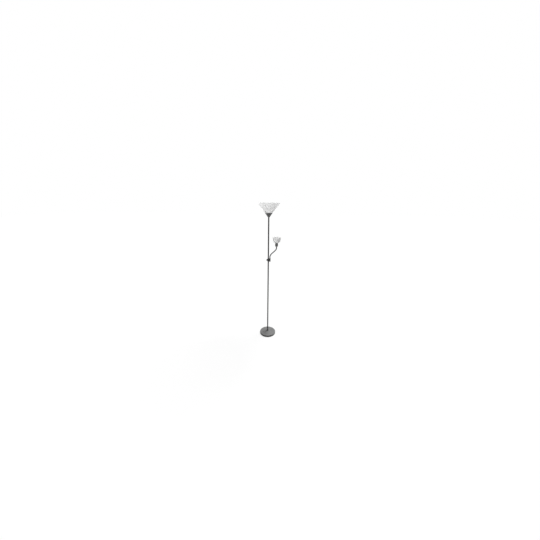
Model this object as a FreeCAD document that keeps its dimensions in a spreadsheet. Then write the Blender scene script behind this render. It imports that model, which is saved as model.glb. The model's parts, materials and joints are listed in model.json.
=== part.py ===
import FreeCAD, Part
import math
import os
import re

import Sketcher

# Torchiere floor lamp with a reading light on a bending neck.
# Millimetres. The origin is on the floor under the pole, +Z is up, +X points at the reading light
# and -Y at the front. Pieces are drawn about their own Z axis, from the seat they stand on.

sizes = {
    # Base: pad, cast weight and pressed cover
    "padThickness": 2,
    "padInset": 2.3,
    "weightGap": 1,
    "weightRimHeight": 20,
    "counterboreRadius": 18,
    "counterboreDepth": 10.6,
    "channelDepth": 16,
    "coverRadius": 110,
    "coverWall": 1.2,
    "coverLip": 3.5,
    "coverLift": 1,
    "coverEdgeHeight": 26,
    "coverShoulder": 5,
    "coverStepRadius": 64,
    "coverStepHeight": 31,
    "coverStepRise": 1.5,
    "coverCrownRadius": 24,
    "coverCrownHeight": 38,
    # Cord gland at the back of the base
    "glandHeight": 12,
    "glandBore": 3.2,
    "glandWall": 1.8,
    "glandFlange": 3,
    "glandBarb": 1,
    "glandLength": 8,
    # Threaded tube, nuts and the plugs that the tube ends hold
    "nippleRadius": 5,
    "nippleBore": 3.5,
    "nippleTail": 1.5,
    "nippleGrip": 14,
    "nutFlats": 14,
    "nutHeight": 5,
    "locknutHeight": 3,
    "washerRadius": 14,
    "washerThickness": 1.6,
    "insertLength": 18,
    "slipFit": 0.1,
    "runningGap": 0.3,
    # Pole
    "poleRadius": 8,
    "poleWall": 1.2,
    "poleLowerLength": 525,
    "poleMiddleLength": 524,
    "poleUpperLength": 511,
    "couplerLength": 50,
    "collarRadius": 15,
    "collarTopRadius": 10,
    "collarHeight": 18,
    "collarFoot": 2.5,
    # Switch housing
    "junctionRadius": 13,
    "junctionWall": 1.8,
    "junctionLedge": 0.6,
    "plugThickness": 3,
    "bossRadius": 8.5,
    "bossDrop": 4,
    "bossRise": 5,
    "bossBoreDepth": 30,
    "webWidth": 9,
    "leadHoleRadius": 2.5,
    # Rotary switch and knob
    "switchRadius": 7,
    "switchLength": 14,
    "switchRoom": 3.1,
    "switchFace": 0.6,
    "bushRadius": 4.5,
    "bushReach": 3,
    "ringNutRadius": 6.8,
    "ringNutThickness": 2,
    "spindleRadius": 3,
    "spindleFit": 0.08,
    "spindleDepth": 8,
    "knobRadius": 11,
    "knobThickness": 9,
    "knobEdge": 1.5,
    "knobGrip": 4.5,
    "knobRib": 0.6,
    # Uplight: lead, cone cup, lampholder, shade and bulb
    "leadRadius": 2.4,
    "cupFootStep": 1,
    "cupTopRadius": 46,
    "cupHeight": 53,
    "cupWall": 1.2,
    "spacerHeight": 9,
    "uplightSocketRadius": 19.3,
    "uplightSocketFoot": 12,
    "uplightSocketCapHeight": 14,
    "uplightSocketShellHeight": 46,
    "uplightSocketWall": 2,
    "flangeOffset": 4,
    "flangeThickness": 2,
    "flangeReach": 2.7,
    "uplightRingHeight": 7,
    "uplightRingReach": 5,
    "shadeRimRadius": 135,
    "shadeHeight": 115,
    "shadeWall": 2,
    "shadeGap": 0.4,
    "uplightBulbRadius": 30,
    "uplightBulbLength": 108,
    "uplightBulbNeckRadius": 12.5,
    "uplightBulbFlare": 40,
    "uplightBulbCapRadius": 13.1,
    "uplightBulbCapHeight": 25,
    # Bulb details that both lights share
    "contactRadius": 4,
    "contactHeight": 2,
    "threadGap": 0.5,
    "glassWall": 1,
    # Bending neck
    "neckRadius": 6.5,
    "neckBore": 3.5,
    "seatGap": 0.45,
    "lipMargin": 0.25,
    "linkLength": 13,
    "ribDepth": 0.6,
    "neckSlant": 46,
    "ferruleRadius": 8,
    "ferruleRise": 6.5,
    "ferruleCollar": 3,
    "spigotLength": 12,
    "headRise": 9,
    # Reading light: cup, lampholder, bell shade and bulb
    "readingCupRadius": 18,
    "readingCupFoot": 9,
    "readingCupHeight": 47,
    "readingCupWall": 1,
    "readingSocketRadius": 13.9,
    "readingSocketFoot": 9,
    "readingSocketCapHeight": 16,
    "readingSocketShellHeight": 37,
    "readingSocketWall": 2,
    "readingRingHeight": 6,
    "readingRingReach": 4.5,
    "bellFloorRadius": 20,
    "bellShoulderRadius": 45,
    "bellShoulderHeight": 22,
    "bellRimRadius": 53,
    "bellHeight": 67,
    "readingBulbRadius": 22.5,
    "readingBulbLength": 78,
    "readingBulbNeckRadius": 6.6,
    "readingBulbFlare": 60,
    "readingBulbCapRadius": 7,
    "readingBulbCapHeight": 24,
}
neck_links = 13
links_before_lean = 1
links_to_lean_over = 4
links_to_straighten = 3
grooves_per_link = 4
knob_ribs = 18

doc = FreeCAD.newDocument("FloorLamp")
sheet = doc.addObject("Spreadsheet::Sheet", "Sizes")
for row, (alias, value) in enumerate(sizes.items(), start=1):
    sheet.set(f"A{row}", alias)
    sheet.set(f"B{row}", str(value))
    sheet.setAlias(f"B{row}", alias)
doc.recompute()

nodes = []


# ---- Helpers: formulas, outlines and placing

def bind(formula):
    # Points each size that a formula names at its cell.
    return re.sub(r"[A-Za-z]\w*", lambda word: f"Sizes.{word[0]}" if word[0] in sizes else word[0], formula)


def number(formula):
    return float(sheet.evalExpression(bind(formula)))


def arc_between(start, end, radius):
    # The arc under a half turn from start to end. A positive radius turns left, a negative one right.
    chord = end - start
    left = FreeCAD.Vector(-chord.y, chord.x, 0).normalize()
    offset = math.sqrt(max(radius ** 2 - (chord.Length / 2) ** 2, 0))
    centre = (start + end) / 2 + left * math.copysign(offset, radius)
    ends = (start, end) if radius > 0 else (end, start)
    first, last = (math.atan2(point.y - centre.y, point.x - centre.x) for point in ends)
    return Part.ArcOfCircle(Part.Circle(centre, FreeCAD.Vector(0, 0, 1), abs(radius)), first, last)


def add_sketch(body, name, plane):
    sketch = body.newObject("Sketcher::SketchObject", name)
    role = next(feature for feature in body.Origin.OriginFeatures if feature.Role == plane)
    sketch.AttachmentSupport = [(role, "")]
    sketch.MapMode = "FlatFace"
    return sketch


def constrain(sketch, kind, *places, formula):
    index = sketch.addConstraint(Sketcher.Constraint(kind, *places, number(formula)))
    sketch.setExpression(f"Constraints[{index}]", bind(formula))


def draw_outline(sketch, outline):
    # Each point is a pair of formulas. A third one is the radius of the arc to the next point.
    places = [FreeCAD.Vector(number(point[0]), number(point[1]), 0) for point in outline]
    starts, ends = [], []
    for index, point in enumerate(outline):
        start, end = places[index], places[(index + 1) % len(places)]
        turns_right = len(point) == 3 and number(point[2]) < 0
        edge = arc_between(start, end, number(point[2])) if len(point) == 3 else Part.LineSegment(start, end)
        geometry = sketch.addGeometry(edge)
        starts.append((geometry, 2 if turns_right else 1))
        ends.append((geometry, 1 if turns_right else 2))
    for index, point in enumerate(outline):
        following = starts[(index + 1) % len(starts)]
        sketch.addConstraint(Sketcher.Constraint("Coincident", *ends[index], *following))
        constrain(sketch, "DistanceX", *starts[index], formula=point[0])
        constrain(sketch, "DistanceY", *starts[index], formula=point[1])
        if len(point) == 3:
            constrain(sketch, "Radius", starts[index][0], formula=f"abs({point[2]})")


def draw_circle(sketch, across, up, radius):
    centre = FreeCAD.Vector(number(across), number(up), 0)
    geometry = sketch.addGeometry(Part.Circle(centre, FreeCAD.Vector(0, 0, 1), number(radius)))
    constrain(sketch, "DistanceX", geometry, 3, formula=across)
    constrain(sketch, "DistanceY", geometry, 3, formula=up)
    constrain(sketch, "Radius", geometry, formula=radius)


def turned(name, outline):
    # A piece made on a lathe: the outline, in radius and height, turned about the piece's own Z axis.
    body = doc.addObject("PartDesign::Body", name)
    sketch = add_sketch(body, f"{name}_outline", "XZ_Plane")
    draw_outline(sketch, outline)
    turning = body.newObject("PartDesign::Revolution", f"{name}_turning")
    turning.Profile = sketch
    turning.ReferenceAxis = (sketch, ["V_Axis"])
    turning.Angle = 360
    return body


def tube(name, outer, inner, length):
    return turned(name, [(inner, "0"), (outer, "0"), (outer, length), (inner, length)])


def hex_nut(name, height):
    body = doc.addObject("PartDesign::Body", name)
    sketch = add_sketch(body, f"{name}_outline", "XY_Plane")
    corner = "(nutFlats / sqrt(3))"
    turns = range(0, 360, 60)
    draw_outline(sketch, [(f"{corner} * cos({turn})", f"{corner} * sin({turn})") for turn in turns])
    draw_circle(sketch, "0", "0", "nippleRadius")
    pad = body.newObject("PartDesign::Pad", f"{name}_pad")
    pad.Profile = sketch
    pad.setExpression("Length", bind(height))
    return body


def cut_from(body, name, sketch, depth, reverse=False):
    # A pocket that must take material away.
    before = body.Shape.Volume
    pocket = body.newObject("PartDesign::Pocket", name)
    pocket.Profile = sketch
    pocket.Reversed = reverse
    pocket.setExpression("Length", bind(depth))
    doc.recompute()
    if body.Shape.Volume >= before:
        raise RuntimeError(f"{name} cuts nothing")
    return pocket


def primitive(kind, name, place=("0", "0", "0"), turn=None, **lengths):
    piece = doc.addObject(f"Part::{kind}", name)
    for prop, formula in lengths.items():
        piece.setExpression(prop, bind(formula))
    set_place(piece, place, turn)
    return piece


def set_place(piece, place, turn=None):
    if turn:
        piece.Placement = FreeCAD.Placement(FreeCAD.Vector(), turn)
    for axis, formula in zip("xyz", place):
        piece.setExpression(f"Placement.Base.{axis}", bind(formula))


def seat(piece, height, x="0", y="0", turn=None):
    # Puts a finished piece in the lamp.
    set_place(piece, (x, y, height), turn)
    nodes.append(piece)
    return piece


to_left = FreeCAD.Rotation(FreeCAD.Vector(0, 1, 0), -90)
to_right = FreeCAD.Rotation(FreeCAD.Vector(0, 1, 0), 90)
to_back = FreeCAD.Rotation(FreeCAD.Vector(1, 0, 0), -90)

# ---- Heights of the seats, each one from those below it

tube_bore = "(poleRadius - poleWall)"
loose_nipple = "(nippleRadius + slipFit)"
washer_seat = "(padThickness + counterboreDepth)"
pole_joint = "(coverCrownHeight + poleLowerLength)"
junction_floor = f"({pole_joint} + poleMiddleLength)"
junction_inside = "(2 * (locknutHeight + nippleTail + switchRoom + switchRadius))"
junction_height = f"(plugThickness + {junction_inside} + junctionWall)"
switch_axis = f"({junction_floor} + plugThickness + {junction_inside} / 2)"
junction_top = f"({junction_floor} + {junction_height})"
uplight_floor = f"({junction_top} + poleUpperLength)"
neck_offset = "(junctionRadius - junctionWall + runningGap + bossRadius)"
neck_seat = f"({junction_top} + bossRise)"


# ---- Base

weight_radius = "(coverRadius - coverWall - coverLip - weightGap)"


def base_pad():
    seat(primitive("Cylinder", "base_pad", Radius=f"{weight_radius} - padInset", Height="padThickness"), "0")


def base_weight():
    # A cast disc with a boss that carries the cover's crown, and a channel for the cord to the back.
    boss_radius = "coverCrownRadius - slipFit"
    boss_top = "coverCrownHeight - coverWall - padThickness"
    body = turned("base_weight", [
        ("counterboreRadius", "0"),
        (weight_radius, "0"),
        (weight_radius, "weightRimHeight"),
        (boss_radius, "weightRimHeight"),
        (boss_radius, boss_top),
        (loose_nipple, boss_top),
        (loose_nipple, "counterboreDepth"),
        ("counterboreRadius", "counterboreDepth"),
    ])
    doc.recompute()
    half_width = "(glandBore + glandWall + glandBarb)"
    start = "(counterboreRadius - coverWall)"
    channel = add_sketch(body, "base_weight_channel", "XY_Plane")
    draw_outline(channel, [(f"-{half_width}", start), (half_width, start), (half_width, "coverRadius"),
                           (f"-{half_width}", "coverRadius")])
    cut_from(body, "base_weight_channel_cut", channel, "channelDepth", reverse=True)
    seat(body, "padThickness")


def base_cover():
    # A pressed sheet: straight edge turned in at the bottom, round shoulder, shallow step, flat crown.
    inner = "(coverRadius - coverWall)"
    lip = f"({inner} - coverLip)"
    bend_foot = "(coverEdgeHeight - coverShoulder)"
    bend_top = "(coverRadius - coverShoulder)"
    step_foot = "(coverStepRadius + coverStepRise)"
    step_top = "(coverStepHeight + coverStepRise)"
    body = turned("base_cover", [
        (lip, "coverLift"),
        ("coverRadius", "coverLift"),
        ("coverRadius", bend_foot, "coverShoulder"),
        (bend_top, "coverEdgeHeight"),
        (step_foot, "coverStepHeight"),
        ("coverStepRadius", step_top),
        ("coverCrownRadius", "coverCrownHeight"),
        (loose_nipple, "coverCrownHeight"),
        (loose_nipple, "coverCrownHeight - coverWall"),
        ("coverCrownRadius", "coverCrownHeight - coverWall"),
        ("coverStepRadius", f"{step_top} - coverWall"),
        (step_foot, "coverStepHeight - coverWall"),
        (bend_top, "coverEdgeHeight - coverWall", "-(coverShoulder - coverWall)"),
        (inner, bend_foot),
        (inner, "coverLift + coverWall"),
        (lip, "coverLift + coverWall"),
    ])
    doc.recompute()
    hole = add_sketch(body, "base_cover_hole", "XZ_Plane")
    draw_circle(hole, "0", "glandHeight", "glandBore + glandWall + slipFit")
    cut_from(body, "base_cover_hole_cut", hole, "coverRadius + coverWall")
    seat(body, "0")


def base_fastening():
    # The threaded tube pulls the pole, the crown and the weight together, with a nut in the counterbore.
    nut_seat = f"({washer_seat} - washerThickness)"
    foot = f"({nut_seat} - nutHeight - nippleTail)"
    seat(tube("base_nipple", "nippleRadius", "nippleBore", f"coverCrownHeight + nippleGrip - {foot}"), foot)
    seat(tube("base_washer", "washerRadius", loose_nipple, "washerThickness"), nut_seat)
    seat(hex_nut("base_nut", "nutHeight"), f"{nut_seat} - nutHeight")


def cord_gland():
    # A bush in the edge of the cover: a flange outside, a barb ring inside.
    body_radius = "(glandBore + glandWall)"
    barb_radius = f"({body_radius} + glandBarb)"
    barb_front = f"-(coverRadius - sqrt((coverRadius - coverWall)^2 - {barb_radius}^2) + runningGap)"
    barb_back = f"{barb_front} - glandBarb * 3"
    seat(turned("cord_gland", [
        ("glandBore", "-glandLength"),
        (body_radius, "-glandLength"),
        (body_radius, barb_back),
        (barb_radius, barb_front),
        (body_radius, barb_front),
        (body_radius, "0"),
        (f"{body_radius} + glandFlange", "0"),
        (f"{body_radius} + glandFlange", "glandFlange / 2"),
        (f"{body_radius} + glandFlange / 2", "glandFlange"),
        ("glandBore", "glandFlange"),
    ]), "glandHeight", y="coverRadius", turn=to_back)


# ---- Pole

def pole_tube(name, length, height):
    seat(tube(name, "poleRadius", tube_bore, length), height)


def pole_insert(name, height):
    seat(tube(name, tube_bore, "nippleRadius", "insertLength"), height)


def pole():
    pole_tube("pole_lower", "poleLowerLength", "coverCrownHeight")
    pole_tube("pole_middle", "poleMiddleLength", pole_joint)
    pole_tube("pole_upper", "poleUpperLength", junction_top)
    pole_insert("pole_foot_insert", "coverCrownHeight")
    pole_insert("pole_middle_insert", f"{junction_floor} - insertLength")
    pole_insert("pole_upper_insert", junction_top)
    pole_insert("pole_top_insert", f"{uplight_floor} - insertLength")
    seat(tube("pole_coupler", tube_bore, "nippleBore", "couplerLength"), f"{pole_joint} - couplerLength / 2")


def foot_collar():
    bore = "(poleRadius + slipFit)"
    seat(turned("foot_collar", [
        (bore, "0"),
        ("collarRadius", "0"),
        ("collarRadius", "collarFoot", "-2 * collarHeight"),
        ("collarTopRadius", "collarHeight"),
        (bore, "collarHeight"),
    ]), "coverCrownHeight")


# ---- Switch housing between the middle and the upper tube

cavity_radius = "(junctionRadius - junctionWall - junctionLedge)"
plug_radius = "(junctionRadius - junctionWall)"
switch_face = "(junctionRadius + switchFace)"


def junction_body():
    # A cast barrel, open below, with a pad for the switch on the left and a boss for the neck on the right.
    switch_height = f"plugThickness + {junction_inside} / 2"
    solids = [
        primitive("Cylinder", "junction_barrel", Radius="junctionRadius", Height=junction_height),
        primitive("Cylinder", "junction_switch_pad", ("0", "0", switch_height), to_left,
                  Radius="switchRadius + junctionWall", Height=switch_face),
        primitive("Cylinder", "junction_neck_boss", (neck_offset, "0", "-bossDrop"),
                  Radius="bossRadius", Height=f"bossDrop + {junction_height} + bossRise"),
        primitive("Box", "junction_web", ("junctionRadius / 2", "-webWidth / 2", "plugThickness"),
                  Length=f"{neck_offset} - junctionRadius / 2", Width="webWidth",
                  Height=f"{junction_height} - 2 * plugThickness"),
    ]
    hollows = [
        primitive("Cylinder", "junction_plug_seat", ("0", "0", "-junctionWall"),
                  Radius=f"{plug_radius} + slipFit / 2", Height="plugThickness + junctionWall"),
        primitive("Cylinder", "junction_cavity", Radius=cavity_radius,
                  Height=f"{junction_height} - junctionWall"),
        primitive("Cylinder", "junction_top_hole",
                  Radius=loose_nipple, Height=f"{junction_height} + junctionWall"),
        primitive("Cylinder", "junction_switch_hole", ("0", "0", switch_height), to_left,
                  Radius="bushRadius + slipFit", Height=f"{switch_face} + junctionWall"),
        primitive("Cylinder", "junction_neck_bore",
                  (neck_offset, "0", f"{junction_height} + bossRise - bossBoreDepth"),
                  Radius="nippleRadius", Height="bossBoreDepth + junctionWall"),
        primitive("Cylinder", "junction_lead_hole", ("0", "0", switch_height), to_right,
                  Radius="leadHoleRadius", Height=neck_offset),
    ]
    casting = doc.addObject("Part::MultiFuse", "junction_casting")
    casting.Shapes = solids
    hollow = doc.addObject("Part::MultiFuse", "junction_hollow")
    hollow.Shapes = hollows
    body = doc.addObject("Part::Cut", "junction_body")
    body.Base = casting
    body.Tool = hollow
    seat(body, junction_floor)


def junction_fastening():
    grip = "(nippleGrip - nippleTail)"
    seat(tube("junction_plug", plug_radius, loose_nipple, "plugThickness"), junction_floor)
    seat(tube("junction_lower_nipple", "nippleRadius", "nippleBore",
              f"{grip} + plugThickness + locknutHeight + nippleTail"), f"{junction_floor} - {grip}")
    seat(hex_nut("junction_lower_nut", "locknutHeight"), f"{junction_floor} + plugThickness")
    under_top = f"({junction_top} - junctionWall - locknutHeight)"
    seat(hex_nut("junction_upper_nut", "locknutHeight"), under_top)
    seat(tube("junction_upper_nipple", "nippleRadius", "nippleBore",
              f"{junction_top} + {grip} - {under_top} + nippleTail"), f"{under_top} - nippleTail")


# ---- Rotary switch: its axis points left, drawn from the face of the housing's switch pad

def switch_piece(piece):
    seat(piece, switch_axis, x=f"-{switch_face}", turn=to_left)


def rotary_switch():
    front = f"(sqrt({cavity_radius}^2 - switchRadius^2) - runningGap - {switch_face})"
    bore = "(spindleRadius + spindleFit)"
    shaft_foot = f"({front} - spindleDepth)"
    switch_piece(turned("switch_body", [
        ("0", f"{front} - switchLength"),
        ("switchRadius", f"{front} - switchLength"),
        ("switchRadius", front),
        ("bushRadius", front),
        ("bushRadius", "bushReach"),
        (bore, "bushReach"),
        (bore, f"{shaft_foot} - runningGap"),
        ("0", f"{shaft_foot} - runningGap"),
    ]))
    switch_piece(tube("switch_ring_nut", "ringNutRadius", "bushRadius", "ringNutThickness"))
    knob_floor = "(bushReach + runningGap)"
    switch_piece(turned("switch_spindle", [
        ("0", shaft_foot),
        ("spindleRadius", shaft_foot),
        ("spindleRadius", f"{knob_floor} + knobGrip"),
        ("0", f"{knob_floor} + knobGrip"),
    ]))
    return knob_floor


def switch_knob(knob_floor):
    recess = "(ringNutRadius + 4 * runningGap)"
    face = "(runningGap + knobThickness)"
    body = turned("switch_knob", [
        (recess, "runningGap"),
        ("knobRadius", "runningGap"),
        ("knobRadius", f"{face} - knobEdge", "knobEdge"),
        ("knobRadius - knobEdge", face),
        ("0", face),
        ("0", f"{knob_floor} + knobGrip"),
        ("spindleRadius", f"{knob_floor} + knobGrip"),
        ("spindleRadius", knob_floor),
        (recess, knob_floor),
    ])
    doc.recompute()
    groove = add_sketch(body, "switch_knob_groove", "XY_Plane")
    draw_circle(groove, "knobRadius + knobRib / 2", "0", "knobRib")
    pocket = cut_from(body, "switch_knob_groove_cut", groove, face, reverse=True)
    ribs = body.newObject("PartDesign::PolarPattern", "switch_knob_ribs")
    ribs.Originals = [pocket]
    ribs.Axis = (groove, ["N_Axis"])
    ribs.Angle = 360
    ribs.Occurrences = knob_ribs
    body.Tip = ribs
    switch_piece(body)


# ---- Parts that both lights share

def screw_ring(light, height, x="0"):
    bore = f"({light}SocketRadius + slipFit)"
    outer = f"({light}SocketRadius + {light}RingReach)"
    rise = f"{light}RingHeight"
    return seat(turned(f"{light}_shade_ring", [
        (bore, "0"),
        (outer, "0"),
        (outer, f"{rise} / 3"),
        (f"{light}SocketRadius + {light}RingReach / 2", f"{rise} / 3"),
        (f"{light}SocketRadius + {light}RingReach / 2", rise),
        (bore, rise),
    ]), height, x)


def socket_cap(light, height, x="0"):
    # The lower half of a lampholder: a hollow cone cap that the threaded tube screws into.
    wall = f"{light}SocketWall"
    rise = f"{light}SocketCapHeight"
    return seat(turned(f"{light}_socket_cap", [
        ("nippleRadius", "0"),
        (f"{light}SocketFoot", "0"),
        (f"{light}SocketRadius", f"{rise} / 2"),
        (f"{light}SocketRadius", rise),
        (f"{light}SocketRadius - {wall}", rise),
        (f"{light}SocketRadius - {wall}", f"{rise} / 2 + {wall}"),
        (f"{light}SocketFoot - {wall}", f"{wall} * 2"),
        ("nippleRadius", f"{wall} * 2"),
    ]), height, x)


def bulb(light, height, x="0"):
    # Drawn from the tip of the contact. The glass is a ball, a flare of the angle given and a neck.
    cap = f"({light}BulbCapRadius)"
    cap_top = f"(contactHeight + {light}BulbCapHeight)"
    seat(turned(f"{light}_bulb_cap", [
        ("0", "0"),
        ("contactRadius", "0"),
        ("contactRadius", "contactHeight"),
        (cap, "2 * contactHeight"),
        (cap, cap_top),
        ("0", cap_top),
    ]), height, x)
    radius = f"({light}BulbRadius)"
    neck = f"({light}BulbNeckRadius)"
    angle = f"({light}BulbFlare)"
    centre = f"({light}BulbLength - {radius})"
    flare = f"(({radius} * cos({angle}) - {neck}) / (1 - cos({angle})))"
    join_height = f"({centre} - {radius} * sin({angle}))"
    flare_foot = f"({join_height} - {flare} * sin({angle}))"
    inner = f"({radius} - glassWall)"
    seat(turned(f"{light}_bulb_globe", [
        (f"{neck} - glassWall", cap_top),
        (neck, cap_top),
        (neck, flare_foot, f"-{flare}"),
        (f"{radius} * cos({angle})", join_height, radius),
        ("0", f"{light}BulbLength"),
        ("0", f"{light}BulbLength - glassWall", f"-{inner}"),
        (f"{inner} * cos({angle})", f"{centre} - {inner} * sin({angle})", f"{flare} + glassWall"),
        (f"{neck} - glassWall", flare_foot),
    ]), height, x)


# ---- Uplight, drawn from the top of the pole

cup_foot = "(poleRadius + cupFootStep)"
cup_slope = f"((cupTopRadius - {cup_foot}) / cupHeight)"
cup_side = f"(cupWall * sqrt(1 + {cup_slope}^2))"
uplight_socket = "(cupWall + spacerHeight)"
uplight_shell = f"({uplight_socket} + uplightSocketCapHeight)"
shade_floor = f"({uplight_shell} + flangeOffset + flangeThickness)"


def uplight_mounting():
    grip = "(nippleGrip - nippleTail)"
    seat(tube("uplight_nipple", "nippleRadius", "nippleBore",
              f"{grip} + {uplight_socket} + 2 * uplightSocketWall"), f"{uplight_floor} - {grip}")
    seat(turned("uplight_cup", [
        (loose_nipple, "0"),
        (cup_foot, "0"),
        ("cupTopRadius", "cupHeight"),
        (f"cupTopRadius - {cup_side}", "cupHeight"),
        (f"{cup_foot} + {cup_slope} * cupWall - {cup_side}", "cupWall"),
        (loose_nipple, "cupWall"),
    ]), uplight_floor)
    seat(tube("uplight_spacer", tube_bore, "nippleRadius", "spacerHeight"), f"{uplight_floor} + cupWall")


def uplight_socket_shell():
    flange = "(uplightSocketRadius + flangeReach)"
    bore = "(uplightBulbCapRadius + threadGap)"
    bore_floor = "(uplightSocketShellHeight - uplightBulbCapHeight - contactHeight - flangeThickness / 2)"
    seat(turned("uplight_socket_shell", [
        ("0", "0"),
        ("uplightSocketRadius", "0"),
        ("uplightSocketRadius", "flangeOffset"),
        (flange, "flangeOffset"),
        (flange, "flangeOffset + flangeThickness"),
        ("uplightSocketRadius", "flangeOffset + flangeThickness"),
        ("uplightSocketRadius", "uplightSocketShellHeight"),
        (bore, "uplightSocketShellHeight"),
        (bore, bore_floor),
        ("0", bore_floor),
    ]), f"{uplight_floor} + {uplight_shell}")
    return f"({uplight_floor} + {uplight_shell} + {bore_floor})"


def uplight_shade():
    # A wide cone. Its lower end lies in the cup and is clamped at a flat floor round the lampholder.
    hole = "(uplightSocketRadius + 2 * slipFit)"
    inner_foot = f"({cup_foot} - {cup_side} - shadeGap)"
    at_floor = f"({inner_foot} + {cup_slope} * {shade_floor})"
    at_cup = f"({inner_foot} + {cup_slope} * cupHeight)"
    slope = f"((shadeRimRadius - {at_cup}) / shadeHeight)"
    side = f"(shadeWall * sqrt(1 + {slope}^2))"
    lower_side = f"(shadeWall * sqrt(1 + {cup_slope}^2))"
    rim = "(cupHeight + shadeHeight)"
    floor_top = f"({shade_floor} + shadeWall)"
    seat(turned("uplight_shade", [
        (hole, shade_floor),
        (at_floor, shade_floor),
        (at_cup, "cupHeight"),
        ("shadeRimRadius", rim),
        (f"shadeRimRadius - {side}", rim),
        (f"{at_cup} - {lower_side}", "cupHeight"),
        (f"{at_floor} + {cup_slope} * shadeWall - {lower_side}", floor_top),
        (hole, floor_top),
    ]), uplight_floor)


def uplight_lead():
    # The lead from the top of the switch through the upper tube to the lampholder.
    foot = f"({switch_axis} + switchRadius)"
    seat(primitive("Cylinder", "uplight_lead", Radius="leadRadius",
                   Height=f"{uplight_floor} + {uplight_shell} - {foot}"), foot)


def uplight():
    uplight_mounting()
    socket_cap("uplight", f"{uplight_floor} + {uplight_socket}")
    bulb_seat = uplight_socket_shell()
    uplight_shade()
    screw_ring("uplight", f"{uplight_floor} + {shade_floor} + shadeWall")
    bulb("uplight", bulb_seat)
    uplight_lead()


# ---- Bending neck: links with a ball above and a seat below, each on the ball of the piece under it

seat_radius = "(neckRadius + seatGap)"
lip = "(sqrt(seatGap * (2 * neckRadius + seatGap)) + lipMargin)"
lip_radius = f"sqrt({seat_radius}^2 - {lip}^2)"
seat_top = f"sqrt({seat_radius}^2 - neckBore^2)"
ball_top = "sqrt(neckRadius^2 - neckBore^2)"


def neck_lower_ferrule():
    seat(turned("neck_lower_ferrule", [
        ("neckBore", "-spigotLength"),
        ("nippleRadius", "-spigotLength"),
        ("nippleRadius", "0"),
        ("ferruleRadius", "0"),
        ("ferruleRadius", "ferruleCollar"),
        ("neckRadius", "ferruleCollar + (ferruleRadius - neckRadius)"),
        ("neckRadius", "ferruleRise", "neckRadius"),
        ("neckBore", f"ferruleRise + {ball_top}"),
    ]), neck_seat, x=neck_offset)


def neck_link(name):
    # Ring grooves between the lip and the ball, in even steps.
    step = f"((linkLength - {lip}) / {2 * grooves_per_link + 1})"
    grooves = []
    for groove in range(grooves_per_link):
        foot = f"{lip} + {step} * {2 * groove + 1}"
        valley = "neckRadius - ribDepth"
        grooves += [("neckRadius", foot), (valley, f"{foot} + {step} / 4"), (valley, f"{foot} + {step} * 3 / 4"),
                    ("neckRadius", f"{foot} + {step}")]
    return turned(name, [
        (lip_radius, lip),
        ("neckRadius", lip),
        *grooves,
        ("neckRadius", "linkLength", "neckRadius"),
        ("neckBore", f"linkLength + {ball_top}"),
        ("neckBore", seat_top, f"-{seat_radius}"),
    ])


def neck_upper_ferrule():
    # The seat on the last ball, a collar under the reading cup and a threaded end through its floor.
    collar_foot = "(headRise - ferruleCollar)"
    return turned("neck_upper_ferrule", [
        (lip_radius, lip),
        ("neckRadius", lip),
        ("neckRadius", f"{collar_foot} - (ferruleRadius - neckRadius)"),
        ("ferruleRadius", collar_foot),
        ("ferruleRadius", "headRise"),
        ("nippleRadius", "headRise"),
        ("nippleRadius", "headRise + readingCupWall + locknutHeight + 2 * readingSocketWall"),
        ("neckBore", "headRise + readingCupWall + locknutHeight + 2 * readingSocketWall"),
        ("neckBore", seat_top, f"-{seat_radius}"),
    ])


def lean_of(link):
    # Upright, then leaning over in even steps, straight on, and back upright in fewer and larger steps.
    rising = (link - links_before_lean) / links_to_lean_over
    falling = (neck_links - link) / links_to_straighten
    return number("neckSlant") * max(0, min(rising, 1, falling))


def neck():
    # Returns the place of the last pivot, in sideways distance and height.
    x = number(neck_offset)
    z = number(f"{neck_seat} + ferruleRise")
    neck_lower_ferrule()
    for link in range(1, neck_links + 1):
        piece = neck_link(f"neck_link_{link:02d}")
        turn = FreeCAD.Rotation(FreeCAD.Vector(0, 1, 0), lean_of(link))
        piece.Placement = FreeCAD.Placement(FreeCAD.Vector(x, 0, z), turn)
        nodes.append(piece)
        x += number("linkLength") * math.sin(math.radians(lean_of(link)))
        z += number("linkLength") * math.cos(math.radians(lean_of(link)))
        print(f"pivot above {piece.Label}: x {x:.3f} z {z:.3f}")
    return x, z


# ---- Reading light, drawn from the floor of its cup

def reading_cup():
    bend = "(readingCupRadius - readingCupFoot)"
    inner = "(readingCupRadius - readingCupWall)"
    return turned("reading_cup", [
        (loose_nipple, "0"),
        ("readingCupFoot", "0", bend),
        ("readingCupRadius", bend),
        ("readingCupRadius", "readingCupHeight"),
        (inner, "readingCupHeight"),
        (inner, bend, f"-({bend} - readingCupWall)"),
        ("readingCupFoot", "readingCupWall"),
        (loose_nipple, "readingCupWall"),
    ])


def reading_socket_shell():
    bore = "(readingBulbCapRadius + threadGap)"
    bore_floor = "(readingSocketShellHeight - readingBulbCapHeight - contactHeight - threadGap)"
    return bore_floor, turned("reading_socket_shell", [
        ("0", "0"),
        ("readingSocketRadius", "0"),
        ("readingSocketRadius", "readingSocketShellHeight"),
        (bore, "readingSocketShellHeight"),
        (bore, bore_floor),
        ("0", bore_floor),
    ])


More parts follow.
